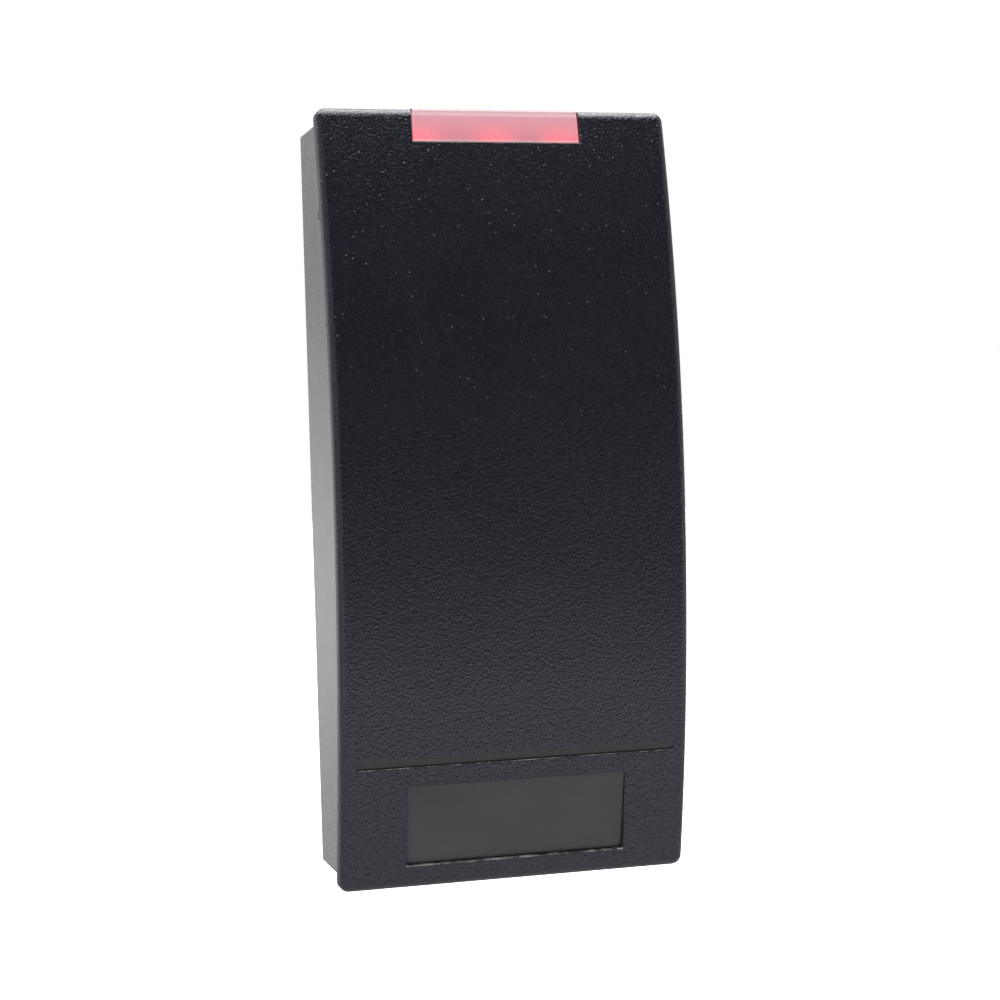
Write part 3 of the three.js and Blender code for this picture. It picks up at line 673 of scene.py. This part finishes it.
def cover_outline():
    """Points round the cover with the notch for the lens. Each is (x, z, inward x, inward z),
    where inward is how far the face's flat part starts inside it."""
    corner_steps = 6
    corner = COVER_CORNER
    points = []
    quarter = math.pi / 2

    def arc(cx, cz, start):
        for i in range(corner_steps + 1):
            turn = start + quarter * i / corner_steps
            c, s = math.cos(turn), math.sin(turn)
            points.append((cx + corner * c, cz + corner * s, -FILLET * c, -FILLET * s))

    def line(a, b, inward, longest=2.2):
        parts = max(1, math.ceil(math.dist(a, b) / longest))
        points.extend((*place, *inward) for place in between(a, b, parts))

    x, z = HALF_WIDTH - corner, HALF_HEIGHT - corner
    top, foot = HALF_HEIGHT, NOTCH_BOTTOM
    right, left = LENS_CENTRE + NOTCH_HALF_WIDTH, LENS_CENTRE - NOTCH_HALF_WIDTH
    arc(x, -z, -quarter)
    line((HALF_WIDTH, -z), (HALF_WIDTH, z), (-FILLET, 0))
    arc(x, z, 0)
    line((x, top), (right, top), (0, -FILLET))
    points.append((right, top, 0, -FILLET))
    points.append((right, top - FILLET, NOTCH_EDGE, 0))
    line((right, top - FILLET), (right, foot), (NOTCH_EDGE, 0), 1.2)
    points.append((right, foot, NOTCH_EDGE, -NOTCH_EDGE))
    line((right, foot), (left, foot), (0, -NOTCH_EDGE))
    points.append((left, foot, -NOTCH_EDGE, -NOTCH_EDGE))
    line((left, foot), (left, top - FILLET), (-NOTCH_EDGE, 0), 1.2)
    points.append((left, top - FILLET, -NOTCH_EDGE, 0))
    points.append((left, top, 0, -FILLET))
    line((left, top), (-x, top), (0, -FILLET))
    arc(-x, z, quarter)
    line((-HALF_WIDTH, z), (-HALF_WIDTH, -z), (FILLET, 0))
    arc(-x, -z, 2 * quarter)
    line((-x, -top), (x, -top), (0, FILLET))
    return points


def rounding_rings(outline, drop=0.0):
    """The rings that turn an outline's face, a drop below the cover's, into its sides."""
    rings = []
    for i in range(FILLET_STEPS + 1):
        turn = math.pi / 2 * i / FILLET_STEPS
        back, down = 1 - math.sin(turn), 1 - math.cos(turn)
        ring = []
        for x, z, inward_x, inward_z in outline:
            px, pz = x + inward_x * back, z + inward_z * back
            ring.append((px, face_depth(pz) - drop - down * edge_radius(inward_x, inward_z), pz))
        rings.append(ring)
    return rings


def edge_radius(inward_x, inward_z):
    """The radius of the rounding at a point, from how far the flat part starts inside it."""
    on_corner = inward_x and inward_z and abs(inward_x) != abs(inward_z)
    length = math.hypot(inward_x, inward_z)
    larger = max(abs(inward_x), abs(inward_z))
    if on_corner and length < FILLET * 1.01 and larger > LENS_FILLET:
        return length
    return larger


def grown(outline, distance):
    """The outline moved inward past its rounding by a distance, as (x, z)."""
    result = []
    for x, z, inward_x, inward_z in outline:
        length = math.hypot(inward_x, inward_z)
        share = 1 + distance / length
        result.append((x + inward_x * share, z + inward_z * share))
    return result


def on_face(outline, drop=0.0):
    return [(x, face_depth(z) - drop, z) for x, z in outline]


def label_depth(z):
    return face_depth(z) - label_drop(z)


def on_label(outline, drop=0.0):
    return [(x, label_depth(z) - drop, z) for x, z in outline]


def on_lip(outline, drop):
    """Points on the recess's raised lip, which is plainest at its foot and fades towards its top."""
    low, high = LABEL_Z
    return [(x, face_depth(z) - drop * (1 - 0.85 * (z - low) / (high - low)), z) for x, z in outline]


def recess_outline(inset):
    low, high = LABEL_Z
    corner = max(0.15, LABEL_CORNER - inset)
    return hollow_outline(LABEL_HALF_WIDTH - inset, low + inset, high - inset, corner)


def hollow_outline(half_x, low_z, high_z, corner):
    return evenly_cut(rounded(half_x, low_z, high_z, corner), 14, 5)


def groove_outline(inset):
    low, high = GROOVE_Z
    corner = max(0.1, GROOVE_CORNER - inset)
    return hollow_outline(GROOVE_HALF_WIDTH - inset, low + inset, high - inset, corner)


def groove_floor():
    """The deepest line of the groove, close above its sharp lower lip."""
    low = GROOVE_Z[0]
    return hollow_outline(GROOVE_HALF_WIDTH - 0.1, low + 0.06, low + 0.14, 0.03)


def front_cover():
    shell = Shell()
    outline = cover_outline()
    edge = rounding_rings(outline)
    face_ring, side_ring = shell.rings(*edge)
    guard = shell.ring(on_face(grown(outline, 0.15)))
    shell.strip(guard, face_ring)

    recess_guard, recess_floor = shell.rings(
        on_face(recess_outline(-0.34)),
        on_lip(recess_outline(-0.25), 0.0),
        on_lip(recess_outline(-0.15), -0.06),
        on_lip(recess_outline(-0.08), -0.02),
        on_lip(recess_outline(0.0), 0.14),
        on_label(recess_outline(0.0), 0.1),
        on_label(recess_outline(0.02), LABEL_THICKNESS + 0.3),
    )
    shell.sheet(recess_floor, [], lambda x, z: label_depth(z) - LABEL_THICKNESS - 0.3, 2.5)
    groove_guard, groove_end = shell.rings(
        on_face(groove_outline(-0.3)),
        on_face(groove_outline(-0.16), 0.006),
        on_face(groove_outline(-0.07), 0.025),
        on_face(groove_outline(0.0), 0.08),
        on_face(groove_floor(), GROOVE_DEPTH),
    )
    shell.cap(groove_end)
    shell.sheet(guard, [recess_guard, groove_guard], lambda x, z: face_depth(z), 1.25)

    before_rim, rim = shell.rings(*rear_rounding(outline, RIM_ROUNDING))
    shell.strip(side_ring, before_rim)
    shell.sheet(rim, [], lambda x, z: rim_depth(z), 2.5)
    cover = shell.piece("front_cover_fine")

    cut(cover, seal_groove_tool())
    inside = Shell()
    add_spigot(inside)
    for sx in (-1, 1):
        for sz in (-1, 1):
            add_boss(inside, sx * BOSS[0], sz * BOSS[1])
        add_tab(inside, sx)
    joined(cover, inside.piece("cover_inside"))
    cover.data.shade_smooth()
    cover.data.set_sharp_from_angle(angle=math.radians(32))
    weighted(cover)
    show(cover, "reader", "cover_plastic", cover_look, "front_cover")
    for look in (smooth_look, edge_look, lifted_hollow_look, lens_glow_look, edge_highlight_look):
        cover.data.materials.append(look)
    for face in cover.data.polygons:
        face.material_index = cover_finish(face)


def cover_finish(face):
    """The index of a face's look: grained on the front, duller round the side, smooth on the back,
    and looks of their own: a painted highlight on the lips, painted light lifting the hollows, and painted
    red lens light in the notch."""
    x, depth, z = face.center.x / MM, -face.center.y / MM, face.center.z / MM
    below = face_depth(z) - depth
    across_recess = abs(x) < LABEL_HALF_WIDTH + 0.02
    lip_of_recess = across_recess and LABEL_Z[0] - 0.16 < z < LABEL_Z[0] + 0.03
    lip_of_groove = abs(x) < GROOVE_HALF_WIDTH and GROOVE_Z[0] - 0.08 < z < GROOVE_Z[0] + 0.01
    # the lower lips of the recess and groove get the painted highlight
    if (lip_of_recess or lip_of_groove) and -0.05 < below < 0.66:
        return PAINTED_HIGHLIGHT
    in_groove = abs(x) < GROOVE_HALF_WIDTH + 0.02 and GROOVE_Z[0] - 0.02 < z < GROOVE_Z[1] + 0.02
    in_recess = across_recess and LABEL_Z[0] - 0.02 < z < LABEL_Z[1] + 0.02
    # the hollows get the paler look, painted light against their shade
    if (in_groove or in_recess) and below > 0.03:
        return HOLLOW
    in_notch = abs(x - LENS_CENTRE) < NOTCH_HALF_WIDTH + 0.16 and z > NOTCH_BOTTOM - 0.1
    # the notch walls get the red painted lens light
    if in_notch and below > 0.12:
        return LENS_GLOW
    in_tab = abs(x) > HALF_WIDTH - 0.4 and TAB[0] < z < TAB[1]
    if in_tab and depth < rim_depth(z):
        # the catch's upward slope gets the painted highlight
        return PAINTED_HIGHLIGHT if face.normal.z > 0.3 else SIDE
    if depth < rim_depth(z) + RIM_ROUNDING * 0.95:
        return SMOOTH
    beside = abs(x) > HALF_WIDTH - 0.12 or z < 0.25 - HALF_HEIGHT
    return SIDE if beside and below > 0.3 else GRAIN


def rear_rounding(outline, radius, steps=3):
    """Rings that turn a piece's side into its back."""
    rings = []
    for i in range(steps + 1):
        turn = math.pi / 2 * i / steps
        inset = radius * (1 - math.cos(turn))
        back = radius * (1 - math.sin(turn))
        rings.append([(x, rim_depth(z) + back, z) for x, z in tucked(outline, inset)])
    return rings


def tucked(outline, distance):
    """The outline moved inward by a distance along its own inward directions."""
    result = []
    for x, z, inward_x, inward_z in outline:
        length = math.hypot(inward_x, inward_z)
        result.append((x + inward_x / length * distance, z + inward_z / length * distance))
    return result


def joined(piece, other):
    work = bmesh.new()
    work.from_mesh(piece.data)
    work.from_mesh(other.data)
    work.to_mesh(piece.data)
    work.free()
    bpy.data.objects.remove(other)


def seal_groove_tool():
    (outer_x, outer_z), (inner_x, inner_z), deep = SEAL_GROOVE
    tool = Shell()
    outer = ring_outline(outer_x, outer_z)
    inner = ring_outline(inner_x, inner_z)
    rings = [
        tool.ring([(x, rim_depth(z) - 1, z) for x, z in outer]),
        tool.ring([(x, rim_depth(z) + deep, z) for x, z in outer]),
        tool.ring([(x, rim_depth(z) + deep, z) for x, z in inner]),
        tool.ring([(x, rim_depth(z) - 1, z) for x, z in inner]),
    ]
    for a, b in zip(rings, rings[1:] + rings[:1]):
        tool.strip(a, b)
    return tool.piece("seal_groove_tool")


def ring_outline(half_x, half_z, corner=1.0):
    """A rounded rectangle with as many points whatever its size."""
    return evenly_cut(rounded(half_x, -half_z, half_z, corner, 4), 8, 30)


def add_spigot(shell):
    outer = ring_outline(CAVITY[0] - SPIGOT_GAP, CAVITY[1] - SPIGOT_GAP)
    inset = SPIGOT_GAP + SPIGOT_WIDTH
    inner = ring_outline(CAVITY[0] - inset, CAVITY[1] - inset)
    rings = [
        shell.ring([(x, rim_depth(z) + 0.2, z) for x, z in outer]),
        shell.ring([(x, rim_depth(z) - SPIGOT_LENGTH, z) for x, z in outer]),
        shell.ring([(x, rim_depth(z) - SPIGOT_LENGTH, z) for x, z in inner]),
        shell.ring([(x, rim_depth(z) + 0.2, z) for x, z in inner]),
    ]
    for a, b in zip(rings, rings[1:] + rings[:1]):
        shell.strip(a, b)


def circle(radius, x, z):
    turns = [2 * math.pi * i / BOSS_SIDES for i in range(BOSS_SIDES)]
    return [(x + radius * math.cos(t), z + radius * math.sin(t)) for t in turns]


def add_boss(shell, x, z):
    _, _, outer, bore = BOSS
    front = rim_depth(z) + 0.3
    levels = ((outer, front), (outer, BOSS_BACK + 0.2), (outer - 0.2, BOSS_BACK), (bore + 0.2, BOSS_BACK))
    levels += ((bore, BOSS_BACK + 0.2), (bore, PILOT_END))
    first, last = shell.rings(*[[(px, depth, pz) for px, pz in circle(r, x, z)] for r, depth in levels])
    shell.cap(last)
    shell.cap(first)


def add_tab(shell, side):
    """The small catch that the cover's edge carries on each side, sloped along its top."""
    low, high, length = TAB
    centre = side * (HALF_WIDTH - 0.17)
    outline = rounded(0.15, low, high, 0.1, 3, centre)
    tip_high = high - 0.8

    def level(back, top, thin=1.0):
        share = (top - low) / (high - low)
        narrowed = [(centre + (x - centre) * thin, z) for x, z in outline]
        return [(x, rim_depth(z) - back, low + (z - low) * share) for x, z in narrowed]

    first, last = shell.rings(
        level(-0.5, high), level(0, high), level(length - 0.1, tip_high), level(length, tip_high, 0.6)
    )
    shell.cap(first)
    shell.cap(last)


# ---------------------------------------------------------------- light bar lens and nameplate


def lens_outline():
    """Points round the visible lens, each with how far its face's flat part starts inside it."""
    outline = []
    half, low, top = LENS_HALF_WIDTH, LENS_BOTTOM, HALF_HEIGHT + LENS_RISE
    edge, fillet = LENS_EDGE, LENS_FILLET

    def line(a, b, inward, parts):
        outline.extend((*place, *inward) for place in [a, *between(a, b, parts)])

    outline.append((half, low, -edge, edge))
    line((half, low + 0.4), (half, top - fillet), (-edge, 0), 3)
    outline.append((half, top - fillet, -edge, 0))
    outline.append((half, top, -edge, -fillet))
    line((half - 0.5, top), (-half + 0.5, top), (0, -fillet), 14)
    outline.append((-half + 0.5, top, 0, -fillet))
    outline.append((-half, top, edge, -fillet))
    line((-half, top - fillet), (-half, low + 0.4), (edge, 0), 3)
    outline.append((-half, low + 0.4, edge, 0))
    outline.append((-half, low, edge, edge))
    line((-half + 0.5, low), (half - 0.5, low), (0, edge), 14)
    outline.append((half - 0.5, low, 0, edge))
    return [(x + LENS_CENTRE, *rest) for x, *rest in outline]


def light_bar_lens():
    outline = lens_outline()
    shell = Shell()
    face_ring, side_ring = shell.rings(*rounding_rings(outline, drop=LENS_DROP))
    shell.sheet(face_ring, [], lambda x, z: face_depth(z) - LENS_DROP, 0.8)
    before, rim = shell.rings(*rear_rounding(outline, 0.15, 2))
    shell.strip(side_ring, before)
    shell.sheet(rim, [], lambda x, z: rim_depth(z), 1.5)

    (low, high), behind = LENS_LEG
    leg = rounded(LENS_HALF_WIDTH - 0.6, low, high, 0.4, 3, LENS_CENTRE, 2)
    first, last = shell.rings(*[on_face(leg, distance) for distance in behind])
    shell.cap(first)
    shell.cap(last)
    lens = shell.piece("light_bar_lens_fine")
    weighted(lens)
    show(lens, "reader", "lens", lens_look, "light_bar_lens")


def nameplate():
    shell = Shell()
    face, back = shell.rings(
        on_label(recess_outline(0.2)),
        on_label(recess_outline(0.05)),
        on_label(recess_outline(0.01), 0.02),
        on_label(recess_outline(0.01), LABEL_THICKNESS),
    )
    shell.sheet(face, [], lambda x, z: label_depth(z), 1.25)
    shell.sheet(back, [], lambda x, z: label_depth(z) - LABEL_THICKNESS, 3.0)
    plate = shell.piece("nameplate_fine")
    weighted(plate)
    show(plate, "reader", "nameplate_plastic", label_look, "nameplate")


front_cover()
light_bar_lens()
nameplate()

# ---------------------------------------------------------------- the other pieces

reader_nodes = frame["record"]["behaviour"]["bodies"]["reader"]

bevelled("rear_housing", "reader", "housing_plastic", housing_look, 0.22, 3)
bevelled("mounting_plate", "wall_mount", "housing_plastic", plate_look, 0.2, 2)
bevelled("lock_screw", "lock_screw", "screw_steel", steel_look, 0.12, 2)
bevelled("tamper_plunger", "tamper_plunger", "plunger_plastic", plunger_look, 0.12, 2)
bevelled("tamper_switch", "reader", "chip_plastic", chip_look, 0.12, 2)
bevelled("terminal_block", "reader", "terminal_plastic", terminal_look, 0.1, 2)
bevelled("main_board", "reader", "board", board_look, 0.08, 1)
bevelled("cover_seal", "reader", "seal_rubber", rubber_look, 0.15, 2)
bevelled("antenna_former", "reader", "former_plastic", former_look, 0.12, 2)
bevelled("antenna_coil", "reader", "coil_copper", coil_look, 0.3, 3)

looks = {
    "screw": ("screw_steel", steel_look, 0.08),
    "status_led": ("led_plastic", led_look, 0.08),
    "buzzer": ("chip_plastic", chip_look, 0.2),
    "microcontroller": ("chip_plastic", chip_look, 0.03),
    "chip": ("chip_plastic", chip_look, 0.03),
    "crystal": ("can_aluminium", can_look, 0.12),
    "voltage_regulator": ("chip_plastic", chip_look, 0.06),
    "power_inductor": ("chip_plastic", chip_look, 0.12),
    "filter_capacitor": ("can_aluminium", can_look, 0.12),
}
finished_nodes = {"rear_housing", "front_cover", "light_bar_lens", "nameplate", "tamper_switch"}
finished_nodes |= {"terminal_block", "main_board", "cover_seal", "antenna_former", "antenna_coil"}
for node in reader_nodes:
    if node in finished_nodes:
        continue
    slot, look, width = next(value for key, value in looks.items() if key in node)
    bevelled(node, "reader", slot, look, width, 2)

# ---------------------------------------------------------------- camera, floor and light

CAMERA_TARGET = Vector((1.529, -8.0, -0.687)) * MM
CAMERA_DISTANCE = 288.07 * MM
CAMERA_YAW, CAMERA_PITCH, CAMERA_ROLL = (math.radians(a) for a in (15.634, 1.685, -1.630))
CAMERA_LENS = 75.38

FLOOR_SIZE, FLOOR_HEIGHT = 3.0, -0.115  # in metres
FLOOR_LIGHT_IN_FRONT, FLOOR_LIGHT_BEHIND = 1.65, 1.3
FLOOR_SEEN = 0.8
WORLD_LIGHT = 1.12
SOFTBOX_AIM = (0, -0.02, 0.0)


def camera():
    yaw, pitch, roll = CAMERA_YAW, CAMERA_PITCH, CAMERA_ROLL
    back = Vector((-math.sin(yaw) * math.cos(pitch), -math.cos(yaw) * math.cos(pitch), math.sin(pitch)))
    level = Vector((math.cos(yaw), -math.sin(yaw), 0))
    rise = back.cross(level)
    right = math.cos(roll) * level + math.sin(roll) * rise
    up = math.cos(roll) * rise - math.sin(roll) * level
    data = bpy.data.cameras.new("camera")
    data.lens = CAMERA_LENS
    data.sensor_width = 36.0
    data.clip_start = 0.01
    seen = bpy.data.objects.new("camera", data)
    seen.matrix_world = Matrix.Translation(CAMERA_TARGET + back * CAMERA_DISTANCE) @ Matrix(
        (right, up, back)
    ).transposed().to_4x4()
    bpy.context.scene.collection.objects.link(seen)
    bpy.context.scene.camera = seen


def floor():
    """Pale ground below the reader. To the camera it is plain. As light it is set apart, in bands by
    distance, which shape the tones that the dark plastic mirrors."""
    size, height = FLOOR_SIZE, FLOOR_HEIGHT
    mesh = bpy.data.meshes.new("floor")
    corners = [(-size, -size, height), (size, -size, height), (size, size, height), (-size, size, height)]
    mesh.from_pydata(corners, [], [(0, 1, 2, 3)])
    material, tree, shader = new_material("pale_floor")
    seen = add(tree, "ShaderNodeLightPath").outputs["Is Camera Ray"]
    grain = noise(tree, 40.0, 3.0)
    pale = ramp(tree, grain, [(0.3, grey(0.84)), (0.7, grey(0.87))])
    feed(tree, shader, colour=mixed(tree, "MIX", seen, (0.30, 0.30, 0.30, 1.0), pale))
    shader.inputs["Roughness"].default_value = 0.8
    split = add(tree, "ShaderNodeSeparateXYZ", {"Vector": place_of(tree)})
    near = mapped(tree, split.outputs["Y"], -0.6, 0.0, 0.0, 1.0)
    in_front = grey_ramp(tree, near, (0.2, 0.05), (0.6, 0.25), (0.77, 0.98), (0.86, 0.60), (0.94, 0.03))
    far = mapped(tree, split.outputs["Y"], 0.0, 1.2, 0.0, 1.0)
    behind = grey_ramp(tree, far, (0.15, 0.02), (0.27, 0.27), (0.45, 0.50), (0.8, 0.98))
    beyond = mathed(tree, "GREATER_THAN", split.outputs["Y"], 0.0)
    from_behind = mathed(tree, "MULTIPLY", behind, mathed(tree, "MULTIPLY", beyond, FLOOR_LIGHT_BEHIND))
    lit = mathed(tree, "ADD", from_behind, mathed(tree, "MULTIPLY", in_front, FLOOR_LIGHT_IN_FRONT))
    strength = mathed(tree, "MAXIMUM", lit, mathed(tree, "MULTIPLY", seen, FLOOR_SEEN))
    shader.inputs["Emission Color"].default_value = (1.0, 1.0, 1.0, 1.0)
    tree.links.new(strength, shader.inputs["Emission Strength"])
    mesh.materials.append(material)
    ground = bpy.data.objects.new("floor", mesh)
    bpy.context.scene.collection.objects.link(ground)


def softbox(name, place, aim, size, radiance):
    data = bpy.data.lights.new(name, "AREA")
    data.shape = "RECTANGLE"
    data.size, data.size_y = size
    data.energy = radiance * math.pi * size[0] * size[1]
    light = bpy.data.objects.new(name, data)
    light.location = place
    light.rotation_euler = (Vector(aim) - Vector(place)).to_track_quat("-Z", "Y").to_euler()
    light.visible_camera = False
    bpy.context.scene.collection.objects.link(light)


def surroundings():
    """White to the camera. As light, bright behind the reader, dim in front and banded near the horizon."""
    world = bpy.data.worlds.new("studio")
    bpy.context.scene.world = world
    world.use_nodes = True
    tree = world.node_tree
    tree.nodes.clear()
    direction = add(tree, "ShaderNodeTexCoord").outputs["Generated"]
    split = add(tree, "ShaderNodeSeparateXYZ", {"Vector": direction})
    behind = mapped(tree, split.outputs["Y"], -0.85, 1.0, 0.0, 1.0)
    strength = grey_ramp(tree, behind, (0.0, 0.02), (0.18, 0.05), (0.32, 0.24), (0.62, 0.74), (0.9, 0.98))
    rise = mapped(tree, split.outputs["Z"], 0.0, 0.2, 0.0, 1.0)
    aloft = grey_ramp(tree, rise, (0.0, 1.0), (0.16, 0.96), (0.36, 0.40), (0.55, 0.72), (0.75, 0.80))
    power = mathed(tree, "MULTIPLY", aloft, WORLD_LIGHT)
    lighting = add(tree, "ShaderNodeBackground", {"Color": strength, "Strength": power})
    white = add(tree, "ShaderNodeBackground", {"Color": (1, 1, 1, 1), "Strength": 1.0})
    seen = add(tree, "ShaderNodeLightPath").outputs["Is Camera Ray"]
    mix = add(tree, "ShaderNodeMixShader", {0: seen, 1: lighting.outputs[0], 2: white.outputs[0]})
    output = add(tree, "ShaderNodeOutputWorld")
    tree.links.new(mix.outputs[0], output.inputs["Surface"])


camera()
floor()
surroundings()
softbox("overhead", (0.0, 0.06, 0.50), SOFTBOX_AIM, (0.58, 0.46), 8.0)
softbox("left_front", (-0.50, -0.30, 0.05), SOFTBOX_AIM, (0.35, 0.60), 0.9)
softbox("right_front", (0.50, -0.25, 0.05), SOFTBOX_AIM, (0.35, 0.60), 0.9)
softbox("high_front", (0.02, -0.22, 0.46), (0, -0.02, -0.02), (0.07, 0.07), 38.0)
bpy.context.scene.view_settings.view_transform = "Standard"
